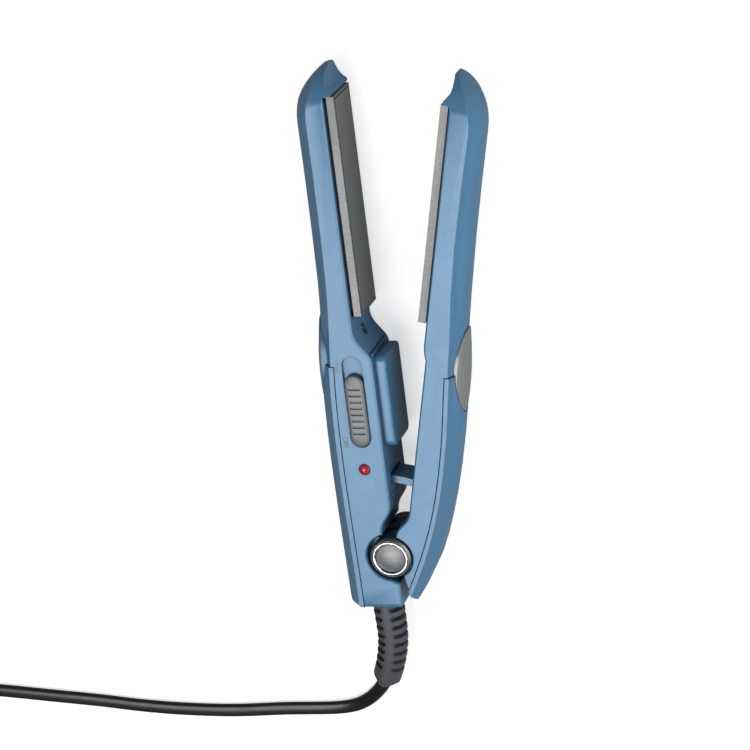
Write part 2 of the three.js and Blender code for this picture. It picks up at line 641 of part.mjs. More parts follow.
function boreAlongY(x, radius, low, high, sides = 32) {
  const geometry = new THREE.CylinderGeometry(radius, radius, high - low, sides);
  return solidOf(geometry.translate(x, (low + high) / 2, 0));
}

// The biggest body of a solid, when a cut leaves slivers beside it.
function largest(solid) {
  return solid.decompose().sort((a, b) => b.volume() - a.volume())[0];
}

// ---------- lever arm ----------

function leverPieces() {
  const side = 1;
  const skin = armSkin(side, leverBody).intersect(slab(leverOutline(), -HALF, HALF, EDGE));
  const proudSkin = armSkin(side, leverBody, -COVER_PROUD).intersect(
    slab(leverOutline(), -HALF, HALF));
  const hollow = cut(
    armSkin(side, leverBody, WALL, -8, COVER_TOP - 2).intersect(
      slab(roundedRect(LEVER_INNER - 3, 30, 21, 100, 1), -HALF, HALF)
        .add(slab(roundedRect(CAP_RADIUS + 3, 30, -30, 100, 1), -HALF, HALF))));
  const ears = [1, -1].map((up) => {
    const [low, high] = [up * LEVER_EAR_LOW, up * LEVER_EAR_TOP].sort((a, b) => a - b);
    return join(bar(EAR_RADIUS, low, high), box(0, CAP_RADIUS + 2.4, -EAR_ROOT, EAR_ROOT, low, high));
  });
  const knuckleRoom = bar(EAR_RADIUS + 0.6, -BASE_EAR_TOP - GAP, BASE_EAR_TOP + GAP);
  const blockHalf = BLOCK_WIDTH / 2 + BLOCK_ROOM;
  const blockRoom = spanBox(side, LEVER_INNER - 3, BLOCK_HEIGHT - BASE_INNER + BLOCK_ROOM,
    BLOCK_BOTTOM, BLOCK_TOP + 1.4 * BLOCK_ROOM, -blockHalf, blockHalf);
  const housing = cut(join(cut(skin, hollow), ...ears),
    knuckleRoom, coverRegion(side, leverBody, GAP), plateTrough(side), blockRoom,
    ovalSeat(side, leverBody), bar(PIN_RADIUS + GAP, -HALF - 1, HALF + 1));
  piece(leverArm, 'lever_housing', largest(housing), bluePlastic);
  const coverShell = cut(proudSkin.intersect(coverRegion(side, leverBody, 0)),
    armSkin(side, leverBody, WALL, -12, COVER_TOP - 1.6), ovalSeat(side, leverBody));
  piece(leverArm, 'lever_cover', largest(coverShell), coveBlue);
  piece(leverArm, 'lever_badge', ovalBadge(side, leverBody), silver);
  const innerCover = spanBox(side, LEVER_INNER + 3.6, LEVER_INNER + 5.2, 22, COVER_TOP - 3,
    -INNER_HALF + GAP, INNER_HALF - GAP);
  piece(leverArm, 'lever_inner_cover', innerCover, coveBlue);
  piece(leverArm, 'stop_tongue', stopTongue(), bluePlastic);
  platePieces(leverArm, side, 'lever');
}

// A strip bent round the hinge axis.
function stopTongue() {
  const r0 = TONGUE_RADIUS - TONGUE_THICKNESS / 2;
  const r1 = TONGUE_RADIUS + TONGUE_THICKNESS / 2;
  const end = THREE.MathUtils.degToRad(90 + TONGUE_REACH);
  const root = Math.acos((LEVER_INNER + 3.6 - GAP) / r1);
  const outline = [...arc(r1, root, end, 12), ...arc(r0, end, root, 12)];
  return slab(outline, -TONGUE_WIDTH / 2, TONGUE_WIDTH / 2);
}

// ---------- hinge ----------

function hingePieces() {
  const r = CAP_RADIUS;
  const top = HALF + CAP_PROUD;
  const cap = turned([
    [0, CAP_FLOOR], [r, CAP_FLOOR], [r, HALF + 0.3], [r - 0.7, top - 0.1],
    [r - 0.9, top - 0.1], [r - 0.9, HALF - 0.5], [0, HALF - 0.5]]);
  piece(baseArm, 'pivot_cap', cap, brushed);
  const ring = turned([
    [r - 2, HALF], [r - 1.2, HALF], [r - 1.2, top - 0.15], [r - 1.45, top],
    [r - 1.75, top], [r - 2, top - 0.3], [r - 2, HALF]]);
  piece(baseArm, 'pivot_cap_ring', ring, chrome);
  const disc = turned([
    [0, HALF - 0.2], [r - 2.3, HALF - 0.2], [r - 2.3, HALF + 0.4], [r - 2.6, HALF + 0.55],
    [0, HALF + 0.55]]);
  piece(baseArm, 'pivot_cap_disc', disc, brushed);
  const rear = turned([
    [0, -top], [r - 0.6, -top], [r, -top + 0.6], [r, -CAP_FLOOR], [0, -CAP_FLOOR]]);
  piece(baseArm, 'rear_pivot_cap', rear, brushed);
  piece(baseArm, 'pivot_pin', bar(PIN_RADIUS, -CAP_FLOOR + GAP, CAP_FLOOR - GAP), steel);
  piece(baseArm, 'torsion_spring', torsionSpring(), steel);
}

// A coil round the pin. One leg presses on the base arm's pocket, one on the lever's wall.
function torsionSpring() {
  const height = 2 * (BASE_EAR_LOW - GAP) - SPRING_WIRE;
  const swing = 2 * Math.PI * SPRING_TURNS + Math.PI;
  const steps = 12 * SPRING_TURNS + 6;
  const coil = Array.from({ length: steps + 1 }, (_, i) => {
    const angle = Math.PI + (swing * i) / steps;
    return new THREE.Vector3(SPRING_RADIUS * Math.cos(angle), SPRING_RADIUS * Math.sin(angle),
      height * (i / steps - 0.5));
  });
  const baseReach = Math.sqrt((POCKET_RADIUS - SPRING_WIRE) ** 2 - SPRING_RADIUS ** 2);
  const leverReach = Math.sqrt((CAP_RADIUS - SPRING_WIRE / 2) ** 2 - SPRING_RADIUS ** 2);
  const baseLeg = [1, 0.5].map((t) =>
    new THREE.Vector3(-SPRING_RADIUS, t * baseReach, -height / 2));
  const leverLeg = [0.5, 1].map((t) =>
    new THREE.Vector3(SPRING_RADIUS, t * leverReach, height / 2));
  const curve = new THREE.CatmullRomCurve3([...baseLeg, ...coil, ...leverLeg], false, 'chordal');
  return tube(curve, () => SPRING_WIRE / 2, 14 * SPRING_TURNS + 8, 6);
}

// ---------- switch, lamp and board ----------

function switchPieces() {
  const knobLow = HALF - SLOT_DEPTH + GAP;
  const knobTop = HALF + KNOB_PROUD;
  const body = slab(stadium(SLOT_X, KNOB_START, KNOB_START + KNOB_LENGTH, KNOB_WIDTH),
    knobLow, knobTop, KNOB_ROUND);
  const middle = KNOB_MIDDLE;
  const grooves = Array.from({ length: KNOB_RIBS }, (_, i) => {
    const y = middle + (i - (KNOB_RIBS - 1) / 2) * RIB_PITCH;
    return box(SLOT_X - RIB_LENGTH / 2, SLOT_X + RIB_LENGTH / 2, y - RIB_WIDTH / 2,
      y + RIB_WIDTH / 2, knobTop - 0.5, knobTop + 1);
  });
  const stub = box(SLOT_X - STUB_WIDTH / 2, SLOT_X + STUB_WIDTH / 2, middle - STUB_LENGTH / 2,
    middle + STUB_LENGTH / 2, INNER_HALF - 1.2, knobLow + 0.2);
  piece(baseArm, 'slide_switch_knob', cut(join(body, stub), ...grooves), greyPlastic);
  const boardTop = 3.2;
  const boardY = LED_Y - 2.4;
  piece(baseArm, 'circuit_board', box(SLOT_X - BOARD_WIDTH / 2, SLOT_X + BOARD_WIDTH / 2,
    boardY, boardY + BOARD_LENGTH, boardTop - BOARD_THICKNESS, boardTop), boardGreen);
  piece(baseArm, 'switch_body', box(SLOT_X - 3.2, SLOT_X + 3.2, middle - 9, middle + 9,
    boardTop + GAP, INNER_HALF - 1.2 - GAP), switchBlack);
  const led = turned([
    [0, boardTop + GAP], [LED_RADIUS - 0.2, boardTop + GAP], [LED_RADIUS - 0.2, HALF - 0.8],
    [LED_RADIUS, HALF - 0.8], [LED_RADIUS, HALF + 0.3], [LED_RADIUS * 0.9, HALF + 0.8],
    [LED_RADIUS * 0.6, HALF + 1.2], [0, HALF + 1.4]], 20);
  piece(baseArm, 'indicator_led', led.translate([LED_X, LED_Y, 0]), redLens);
}

// ---------- leads, strain relief, cord and plug ----------

const vector = ([x, y, z]) => new THREE.Vector3(x, y, z);

function leadPieces() {
  const down = new THREE.CatmullRomCurve3([
    [-13.2, 0, 3], [-14.2, 12, 2], [-12.5, 24, 1.4], [-11.4, 31, 0.6], [-9, 36, -0.2],
    [-7.6, 44, 0.2]].map(vector));
  piece(baseArm, 'live_lead', tube(down, () => LEAD_RADIUS, 16, 6), redWire);
  const back = new THREE.CatmullRomCurve3([
    [-13.2, 0, -3], [-14.4, 12, -4], [-12.9, 24, -5], [-10, 33, -4.4], [-6, 40, -3],
    [-4.6, 48, -0.4]].map(vector));
  piece(baseArm, 'neutral_lead', tube(back, () => LEAD_RADIUS, 16, 6), whiteWire);
}

const BOOT_ROUTE = [[BOOT_X, BASE_FOOT - GAP, 0], [BOOT_X + 0.3, -30, 0], [BOOT_X, -40, -0.4],
  [-9.6, -49, -1], [-12, -55.6, -1.8], [-14, -59.6, -2.4]].map(vector);

// A slot from beside the spine outwards, round at its inner end, that leaves the core.
function bootSlot(way) {
  const r = SLOT_HEIGHT / 2;
  const shape = new THREE.Shape();
  const reach = 2 * BOOT_RADIUS;
  shape.absarc(BOOT_SPINE + r, 0, r, Math.PI / 2, 1.5 * Math.PI);
  shape.lineTo(reach, -r);
  shape.lineTo(reach, r);
  const outline = shape.getPoints(2).map((point) => new THREE.Vector2(way * point.x, point.y));
  return cut(slab(outline, -reach, reach), boreAlongY(0, BOOT_CORE, -reach, reach, 6));
}

function bootPiece() {
  const curve = new THREE.CatmullRomCurve3(BOOT_ROUTE);
  const roundFrom = 0.93;
  const radiusAt = (t) => {
    const end = Math.max(0, (t - roundFrom) / (1.2 * (1 - roundFrom)));
    return THREE.MathUtils.lerp(BOOT_RADIUS, BOOT_END_RADIUS, t) * Math.sqrt(1 - end * end);
  };
  const body = tube(curve, radiusAt, 11, 14);
  const length = curve.getLength();
  const slots = [];
  for (let n = 0; n < SLOT_COUNT; n++) {
    const t = (SLOT_FIRST + n * SLOT_PITCH) / length;
    const centre = curve.getPointAt(t);
    const tangent = curve.getTangentAt(t);
    const across = new THREE.Vector3(-tangent.y, tangent.x, 0).normalize();
    const turn = new THREE.Matrix4().makeBasis(across, tangent, across.clone().cross(tangent));
    turn.setPosition(centre);
    for (const way of [1, -1]) {
      slots.push(solidOf(geometryOf(bootSlot(way)).applyMatrix4(turn)));
    }
  }
  const neck = boreAlongY(BOOT_X, BOOT_NECK, BASE_FOOT - 1, BASE_FOOT + 4.4, 20);
  const flange = boreAlongY(BOOT_X, BOOT_NECK + BOOT_FLANGE, BASE_FOOT + 3.8, BASE_FOOT + 5.4, 20);
  piece(baseArm, 'strain_relief', join(cut(body, ...slots), neck, flange), darkRubber);
}

// The route of the cord, from the strain relief to the coil. Heights are above the table.
const CORD_ROUTE = [[-14.3, -60.2, 10.7], [-18, -65, 8], [-23.5, -70.6, 4.6], [-30.5, -75, 2.1],
  [-39, -76.8, 1.5], [-50, -77.4, 1.5], [-61, -77.9, 1.5], [-83, -79.4, 1.5], [-105, -79.4, 1.5],
  [-123, -78.4, 1.5], [-140, -76.8, 1.5], [-162, -75.2, 1.5], [-184, -73.6, 1.5],
  [-200.4, -73.2, 1.5]].map(vector);
const TAIL_ROUTE = [[PLUG_X + 0.4, -14.2, 5.4], [PLUG_X, PLUG_Y - 3 * GAP, 7]].map(vector);

// A flat cord along a route, lying on its wide side.
function flatCord(route, steps) {
  const curve = new THREE.CatmullRomCurve3(route, false, 'chordal');
  const sides = 8;
  return loft(Array.from({ length: steps + 1 }, (_, i) => {
    const centre = curve.getPointAt(i / steps);
    const tangent = curve.getTangentAt(i / steps);
    const across = new THREE.Vector3(-tangent.y, tangent.x, 0).normalize();
    const over = across.clone().cross(tangent).normalize();
    return Array.from({ length: sides }, (__, k) => {
      const angle = (2 * Math.PI * (k + 0.5)) / sides;
      return centre.clone()
        .addScaledVector(across, (CORD_WIDTH / 2) * Math.cos(angle))
        .addScaledVector(over, (CORD_THICKNESS / 2) * Math.sin(angle));
    });
  }));
}

function cordPieces() {
  piece(model, 'cord', flatCord(CORD_ROUTE, 34), cordBlack);
  piece(model, 'cord_tail', flatCord(TAIL_ROUTE, 2), cordBlack);
  const [r0, r1] = [COIL_RADIUS - COIL_BUILD / 2, COIL_RADIUS + COIL_BUILD / 2];
  const coil = turned([[r0 + 1, 0.1], [r1 - 1, 0.1], [r1, 1.1], [r1, COIL_HEIGHT - 1],
    [r1 - 1, COIL_HEIGHT], [r0 + 1, COIL_HEIGHT], [r0, COIL_HEIGHT - 1], [r0, 1.1],
    [r0 + 1, 0.1]], 36);
  piece(model, 'cord_coil', coil.translate([COIL_X, COIL_Y, 0]), cordBlack);
}

// A moulded plug with two flat blades, lying on its wide side.
function plugPieces() {
  const ring = (y, width, height, middle) => {
    const shape = roundedRect(-width / 2, width / 2, -height / 2, height / 2, 0.3 * height);
    return shape.getPoints(3).slice(0, -1).map((point) =>
      new THREE.Vector3(PLUG_X + point.x, y, middle + point.y));
  };
  const middle = PLUG_HEIGHT / 2 + 0.1;
  const shoulder = PLUG_Y + PLUG_NECK;
  const front = shoulder + PLUG_LENGTH;
  piece(model, 'plug_body', loft([
    ring(PLUG_Y, CORD_WIDTH + 2.6, CORD_THICKNESS + 3.4, middle),
    ring(shoulder, 11, 8.5, middle),
    ring(shoulder + 4, 18, 12.4, middle),
    ring(shoulder + 9, PLUG_WIDTH - 1.6, PLUG_HEIGHT, middle),
    ring(front - 2, PLUG_WIDTH, PLUG_HEIGHT, middle),
    ring(front, PLUG_WIDTH - 1.4, PLUG_HEIGHT - 1.4, middle)]), cordBlack);
  ['left', 'right'].forEach((name, i) => {
    const x = PLUG_X + (i - 0.5) * BLADE_SPACING;
    const blade = slab(
      [[front + GAP, -BLADE_WIDTH / 2], [front + BLADE_LENGTH - 1.5, -BLADE_WIDTH / 2],
        [front + BLADE_LENGTH, -BLADE_WIDTH / 2 + 1.5], [front + BLADE_LENGTH, BLADE_WIDTH / 2 - 1.5],
        [front + BLADE_LENGTH - 1.5, BLADE_WIDTH / 2], [front + GAP, BLADE_WIDTH / 2]]
        .map(([y, z]) => new THREE.Vector2(y, z)), -BLADE_THICKNESS / 2, BLADE_THICKNESS / 2);
    const turn = new THREE.Matrix4().makeBasis(
      new THREE.Vector3(0, 1, 0), new THREE.Vector3(0, 0, 1), new THREE.Vector3(1, 0, 0));
    piece(model, `plug_${name}_blade`,
      solidOf(geometryOf(blade).applyMatrix4(turn).translate(x, 0, middle)), steel);
  });
}

basePieces();
leverPieces();
hingePieces();
switchPieces();
leadPieces();
bootPiece();
cordPieces();
plugPieces();

export default model;
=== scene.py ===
import json
import math

import bpy
from mathutils import Matrix, Vector


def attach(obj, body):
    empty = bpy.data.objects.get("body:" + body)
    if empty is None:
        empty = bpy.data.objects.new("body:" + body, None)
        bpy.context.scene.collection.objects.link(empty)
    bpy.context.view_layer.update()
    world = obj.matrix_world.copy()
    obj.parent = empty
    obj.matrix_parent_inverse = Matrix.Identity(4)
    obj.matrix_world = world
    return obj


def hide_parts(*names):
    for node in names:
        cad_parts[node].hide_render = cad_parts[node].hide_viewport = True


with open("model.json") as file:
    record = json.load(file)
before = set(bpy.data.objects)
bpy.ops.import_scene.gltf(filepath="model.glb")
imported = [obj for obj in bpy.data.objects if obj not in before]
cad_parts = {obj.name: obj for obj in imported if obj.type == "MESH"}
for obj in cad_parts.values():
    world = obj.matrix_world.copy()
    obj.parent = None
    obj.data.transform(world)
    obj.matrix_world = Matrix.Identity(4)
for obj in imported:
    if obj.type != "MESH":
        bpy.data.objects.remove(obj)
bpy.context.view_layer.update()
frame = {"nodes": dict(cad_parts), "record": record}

MM = 0.001
nodes = frame["nodes"]

# ---------------------------------------------------------------- camera

CAMERA_AT = Vector((319.6, 432.5, 939.0)) * MM
CAMERA_BACK = Vector((0.30695, 0.34802, 0.88581))
CAMERA_UP = Vector((0.00709, 0.92988, -0.36779))
CAMERA_LENS = 135.84
SENSOR_WIDTH = 36


def make_camera():
    back = CAMERA_BACK.normalized()
    right = CAMERA_UP.cross(back).normalized()
    up = back.cross(right)
    turned = Matrix((right, up, back)).transposed().to_4x4()
    data = bpy.data.cameras.new("camera")
    data.lens = CAMERA_LENS
    data.sensor_width = SENSOR_WIDTH
    data.clip_start = 0.05
    data.clip_end = 20
    camera = bpy.data.objects.new("camera", data)
    camera.matrix_world = Matrix.Translation(CAMERA_AT) @ turned
    bpy.context.collection.objects.link(camera)
    bpy.context.scene.camera = camera


make_camera()

# ---------------------------------------------------------------- mesh helpers


def add_mesh(name, points, faces, smooth=True):
    mesh = bpy.data.meshes.new(name)
    mesh.from_pydata([tuple(point) for point in points], [], faces)
    mesh.validate()
    mesh.polygons.foreach_set("use_smooth", [smooth] * len(mesh.polygons))
    piece = bpy.data.objects.new(name, mesh)
    bpy.context.collection.objects.link(piece)
    return piece


def skin(rings):
    """Points and faces of a closed skin through rings of points."""
    count = len(rings[0])
    points = [point for ring in rings for point in ring]
    faces = [tuple(reversed(range(count)))]
    for row in range(len(rings) - 1):
        for i in range(count):
            a = row * count + i
            b = row * count + (i + 1) % count
            faces.append((a, b, b + count, a + count))
    last = (len(rings) - 1) * count
    faces.append(tuple(range(last, last + count)))
    return points, faces


def smooth_run(points, spacing):
    """Points on a smooth curve through the given ones, about spacing apart."""
    ends = [2 * points[0] - points[1], *points, 2 * points[-1] - points[-2]]
    out = []
    for i in range(1, len(ends) - 2):
        p0, p1, p2, p3 = ends[i - 1:i + 3]
        steps = max(1, round((p2 - p1).length / spacing))
        for k in range(steps):
            t = k / steps
            out.append(0.5 * (2 * p1 + (p2 - p0) * t + (2 * p0 - 5 * p1 + 4 * p2 - p3) * t ** 2
                              + (3 * p1 - p0 - 3 * p2 + p3) * t ** 3))
    return out + [points[-1].copy()]


# ---------------------------------------------------------------- cord

CORD_WIDTH = 5.4
CORD_THICKNESS = 2.7
CORD_HEIGHT = 1.5               # its middle above the table
LINE_STEP = 2.5
CORE_POINTS = 7
CORE_SPREAD = 24                # degrees between a core's points
CORD_ROUTE = [(-14.3, -60.2, 10.7), (-18, -65, 8), (-23.5, -70.6, 4.6), (-30.5, -75, 2.1),
              (-39, -76.8, 1.5), (-50, -77.4, 1.5), (-61, -77.9, 1.5), (-83, -79.4, 1.5),
              (-105, -79.4, 1.5), (-123, -78.4, 1.5), (-140, -76.8, 1.5), (-162, -75.2, 1.5),
              (-184, -73.6, 1.5), (-200.4, -73.2, 1.5), (-212, -75.6, 1.5)]
COIL_MIDDLE = Vector((-228, -43.2, 0))
COIL_OUTER = 35.6
COIL_PITCH = 5.5
COIL_LIFT = 2.85
TURNS_A_LAYER = 2.35
CLIMB_TURNS = 0.35
CLIMB_TUCK = 2.8
COIL_TURNS = 8.25
TURN_STEPS = 44
LIFT_REACH = 9                  # over which the turns rise onto the strap
TIE_ANGLE = math.radians(35)
TIE_THICKNESS = 0.9
TIE_WIDTH = 11
TIE_ROOM = 1.4                  # from the turns to the strap's outer face, at their sides
TIE_TOP_ROOM = 0.4
TIE_BOTTOM = 0.1
TIE_CORNER = 3
TIE_SKIN = 0.7
CORNER_STEPS = 4
PLUG_END = (-257, -2.6, 7.35)


def coil_point(turns):
    """A point of the coil: it winds in and out in layers, and climbs at the end of each."""
    layer = int(turns / TURNS_A_LAYER)
    done = turns - layer * TURNS_A_LAYER
    inward = done if layer % 2 == 0 else TURNS_A_LAYER - done
    climb = max(0, (done - TURNS_A_LAYER + CLIMB_TURNS) / CLIMB_TURNS)
    inside = CLIMB_TUCK * math.sin(math.pi * climb) if layer % 2 == 0 else 0
    radius = COIL_OUTER - COIL_PITCH * inward - inside
    angle = -math.pi / 2 - 2 * math.pi * turns
    from_tie = radius * abs(math.remainder(angle - TIE_ANGLE, 2 * math.pi))
    over_tie = TIE_THICKNESS * math.exp(-(max(0, from_tie - TIE_WIDTH / 2) / LIFT_REACH) ** 2)
    height = CORD_HEIGHT + over_tie + COIL_LIFT * (layer + climb * climb * (3 - 2 * climb))
    return COIL_MIDDLE + Vector((radius * math.cos(angle), radius * math.sin(angle), height))


def cord_line():
    lead = smooth_run([Vector(p) for p in CORD_ROUTE] + [coil_point(0)], LINE_STEP)
    count = round(COIL_TURNS * TURN_STEPS)
    coil = [coil_point(COIL_TURNS * i / count) for i in range(1, count + 1)]
    end = coil[-1]
    tail = smooth_run([end, end + Vector((-0.4, 12, 0.4)), end + Vector((0.6, 26, -1.4)),
                       Vector(PLUG_END)], LINE_STEP)
    return lead + coil + tail[1:]


def core_section():
    """The outline of two round cores moulded side by side."""
    core = CORD_THICKNESS / 2
    offset = CORD_WIDTH / 2 - core
    outline = []
    for way in (1, -1):
        for k in range(CORE_POINTS):
            angle = math.radians(CORE_SPREAD * (k - CORE_POINTS // 2))
            outline.append((way * (offset + core * math.cos(angle)), way * core * math.sin(angle)))
    return outline


def coil_tie():
    """A flat strap round all the turns, closed on itself."""
    inner = COIL_OUTER - COIL_PITCH * 2 - CORD_WIDTH / 2 - TIE_ROOM
    outer = COIL_OUTER + CORD_WIDTH / 2 + TIE_ROOM
    top = CORD_HEIGHT + TIE_THICKNESS + 3 * COIL_LIFT + CORD_THICKNESS / 2 + TIE_TOP_ROOM
    low, high = TIE_BOTTOM + TIE_CORNER, top - TIE_CORNER
    near, far = inner + TIE_CORNER, outer - TIE_CORNER
    out = Vector((math.cos(TIE_ANGLE), math.sin(TIE_ANGLE), 0))
    side = Vector((-out.y, out.x, 0)) * TIE_WIDTH / 2
    shell = ((TIE_CORNER, -1), (TIE_CORNER, 1), (TIE_CORNER - TIE_SKIN, 1), (TIE_CORNER - TIE_SKIN, -1))
    points = []
    for quarter, (u, w) in enumerate(((far, high), (near, high), (near, low), (far, low))):
        for k in range(CORNER_STEPS + 1):
            turn = math.radians(90 * (quarter + k / CORNER_STEPS))
            for reach, way in shell:
                rise = Vector((0, 0, w + reach * math.sin(turn)))
                across = COIL_MIDDLE + out * (u + reach * math.cos(turn)) + side * way
                points.append((across + rise) * MM)
    faces = []
    for i in range(0, len(points), len(shell)):
        for k in range(len(shell)):
            a, b = i + k, i + (k + 1) % len(shell)
            step = (i + len(shell)) % len(points) - i
            faces.append((a, b, b + step, a + step))
    tie = add_mesh("coil_tie", points, faces)
    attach(tie, "base_arm")
    return tie


def make_cord():
    """The cord with its coil, and the strap that holds the coil."""
    line = cord_line()
    rings = []
    for i, point in enumerate(line):
        along = (line[min(i + 1, len(line) - 1)] - line[max(i - 1, 0)]).normalized()
        across = Vector((-along.y, along.x, 0)).normalized()
        over = across.cross(along).normalized()
        rings.append([(point + across * u + over * w) * MM for u, w in core_section()])
    points, faces = skin(rings)
    cord = add_mesh("mains_cord", points, faces)
    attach(cord, "base_arm")
    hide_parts("cord", "cord_tail", "cord_coil")
    tie = coil_tie()
    return cord, tie


cord, tie = make_cord()

# ---------------------------------------------------------------- shader node groups


def group(name, inputs, outputs):
    """A shader node group with named sockets, and its input and output nodes."""
    tree = bpy.data.node_groups.new(name, "ShaderNodeTree")
    kinds = {"value": "NodeSocketFloat", "vector": "NodeSocketVector", "color": "NodeSocketColor"}
    for label, kind, default in inputs:
        socket = tree.interface.new_socket(label, in_out="INPUT", socket_type=kinds[kind])
        if default is not None:
            socket.default_value = default
    for label, kind in outputs:
        tree.interface.new_socket(label, in_out="OUTPUT", socket_type=kinds[kind])
    return tree, tree.nodes.new("NodeGroupInput"), tree.nodes.new("NodeGroupOutput")


def node(tree, kind, links=None, **settings):
    """A node with its settings, its fixed inputs and its links."""
    made = tree.nodes.new(kind)
    for key, value in settings.items():
        setattr(made, key, value)
    for key, value in (links or {}).items():
        if isinstance(value, bpy.types.NodeSocket):
            tree.links.new(value, made.inputs[key])
        else:
            made.inputs[key].default_value = value
    return made


def ramp(tree, value, low, high, out_low=0.0, out_high=1.0):
    """Maps a value's range onto another, clamped."""
    return node(tree, "ShaderNodeMapRange", {"Value": value, "From Min": low, "From Max": high,
                "To Min": out_low, "To Max": out_high}).outputs["Result"]


def grain_group():
    """Fine moulded grain with a slow drift of tone."""
    tree, given, out = group("moulded_grain", [
        ("Coordinates", "vector", None), ("Scale", "value", 900.0)],
        [("Height", "value"), ("Tone", "value")])
    at = given.outputs["Coordinates"]
    fine = node(tree, "ShaderNodeTexNoise", {
        "Vector": at, "Scale": given.outputs["Scale"], "Detail": 4.0, "Roughness": 0.6})
    drift = node(tree, "ShaderNodeTexNoise", {"Vector": at, "Scale": 28.0, "Detail": 3.0})
    tree.links.new(fine.outputs["Fac"], out.inputs["Height"])
    tree.links.new(ramp(tree, drift.outputs["Fac"], 0.3, 0.7), out.inputs["Tone"])
    return tree


def flake_group():
    """Tiny bright flakes, as in metallic paint or cast speckle."""
    tree, given, out = group("metal_flake", [
        ("Coordinates", "vector", None), ("Scale", "value", 3000.0), ("Share", "value", 0.2)],
        [("Mask", "value")])
    cells = node(tree, "ShaderNodeTexVoronoi", {
        "Vector": given.outputs["Coordinates"], "Scale": given.outputs["Scale"]})
    bright = node(tree, "ShaderNodeSeparateColor", {"Color": cells.outputs["Color"]})
    limit = node(tree, "ShaderNodeMath", {0: 1.0, 1: given.outputs["Share"]}, operation="SUBTRACT")
    chosen = node(tree, "ShaderNodeMath", {0: bright.outputs[0], 1: limit.outputs[0]},
                  operation="GREATER_THAN")
    tree.links.new(chosen.outputs[0], out.inputs["Mask"])
    return tree


def wear_group():
    """Rubbed edges: where a rounded normal leaves the face's own one, broken by noise."""
    tree, given, out = group("edge_wear", [
        ("Coordinates", "vector", None), ("Radius", "value", 0.0004), ("Break Up", "value", 260.0)],
        [("Mask", "value"), ("Rounded Normal", "vector")])
    rounded = node(tree, "ShaderNodeBevel", {"Radius": given.outputs["Radius"]}, samples=6)
    face = node(tree, "ShaderNodeNewGeometry")
    agree = node(tree, "ShaderNodeVectorMath", {
        0: rounded.outputs["Normal"], 1: face.outputs["Normal"]}, operation="DOT_PRODUCT")
    edge = ramp(tree, agree.outputs["Value"], 0.99, 0.86)
    patches = node(tree, "ShaderNodeTexNoise", {
        "Vector": given.outputs["Coordinates"], "Scale": given.outputs["Break Up"], "Detail": 3.0})
    broken = ramp(tree, patches.outputs["Fac"], 0.42, 0.66)
    worn = node(tree, "ShaderNodeMath", {0: edge, 1: broken}, operation="MULTIPLY")
    tree.links.new(worn.outputs[0], out.inputs["Mask"])
    tree.links.new(rounded.outputs["Normal"], out.inputs["Rounded Normal"])
    return tree


def handling_group():
    """Soft smudges and faint dust from handling."""
    tree, given, out = group("handling_marks", [
        ("Coordinates", "vector", None), ("Scale", "value", 60.0)],
        [("Smudge", "value"), ("Dust", "value")])
    at = given.outputs["Coordinates"]
    cloud = node(tree, "ShaderNodeTexNoise", {
        "Vector": at, "Scale": given.outputs["Scale"], "Detail": 5.0, "Distortion": 1.2})
    specks = node(tree, "ShaderNodeTexVoronoi", {"Vector": at, "Scale": 700.0})
    tree.links.new(ramp(tree, cloud.outputs["Fac"], 0.45, 0.75), out.inputs["Smudge"])
    tree.links.new(ramp(tree, specks.outputs["Distance"], 0.07, 0.02), out.inputs["Dust"])
    return tree


def brushed_group():
    """Fine straight streaks, set by how much each axis is stretched."""
    tree, given, out = group("brushed_streaks", [
        ("Coordinates", "vector", None), ("Stretch", "vector", (1.0, 1.0, 1.0))],
        [("Height", "value"), ("Streak", "value")])
    pulled = node(tree, "ShaderNodeVectorMath", {
        0: given.outputs["Coordinates"], 1: given.outputs["Stretch"]}, operation="MULTIPLY")
    fine = node(tree, "ShaderNodeTexNoise", {
        "Vector": pulled.outputs["Vector"], "Scale": 1.0, "Detail": 5.0, "Roughness": 0.7})
    tree.links.new(fine.outputs["Fac"], out.inputs["Height"])
    tree.links.new(ramp(tree, fine.outputs["Fac"], 0.3, 0.7), out.inputs["Streak"])
    return tree


def painted_recess_shade_group():
    """Painted shade: how closed in a place is, used to darken seams, recesses and inner corners in the
    base colour.
    """
    tree, given, out = group("painted_cavity_shade", [
        ("Coordinates", "vector", None), ("Reach", "value", 0.004)], [("Mask", "value")])
    open_sky = node(tree, "ShaderNodeAmbientOcclusion", {"Distance": given.outputs["Reach"]}, samples=8)
    drift = node(tree, "ShaderNodeTexNoise", {"Vector": given.outputs["Coordinates"], "Scale": 90.0})
    closed = ramp(tree, open_sky.outputs["AO"], 0.92, 0.35)
    uneven = ramp(tree, drift.outputs["Fac"], 0.2, 0.8, 0.85, 1.0)
    shade = node(tree, "ShaderNodeMath", {0: closed, 1: uneven}, operation="MULTIPLY")
    tree.links.new(shade.outputs[0], out.inputs["Mask"])
    return tree


GRAIN = grain_group()
# painted shade for seams, recesses and inner corners, mixed into the metallic plastics' colour
PAINTED_RECESS_SHADE = painted_recess_shade_group()
FLAKE = flake_group()
WEAR = wear_group()
HANDLING = handling_group()
BRUSHED = brushed_group()

# ---------------------------------------------------------------- materials


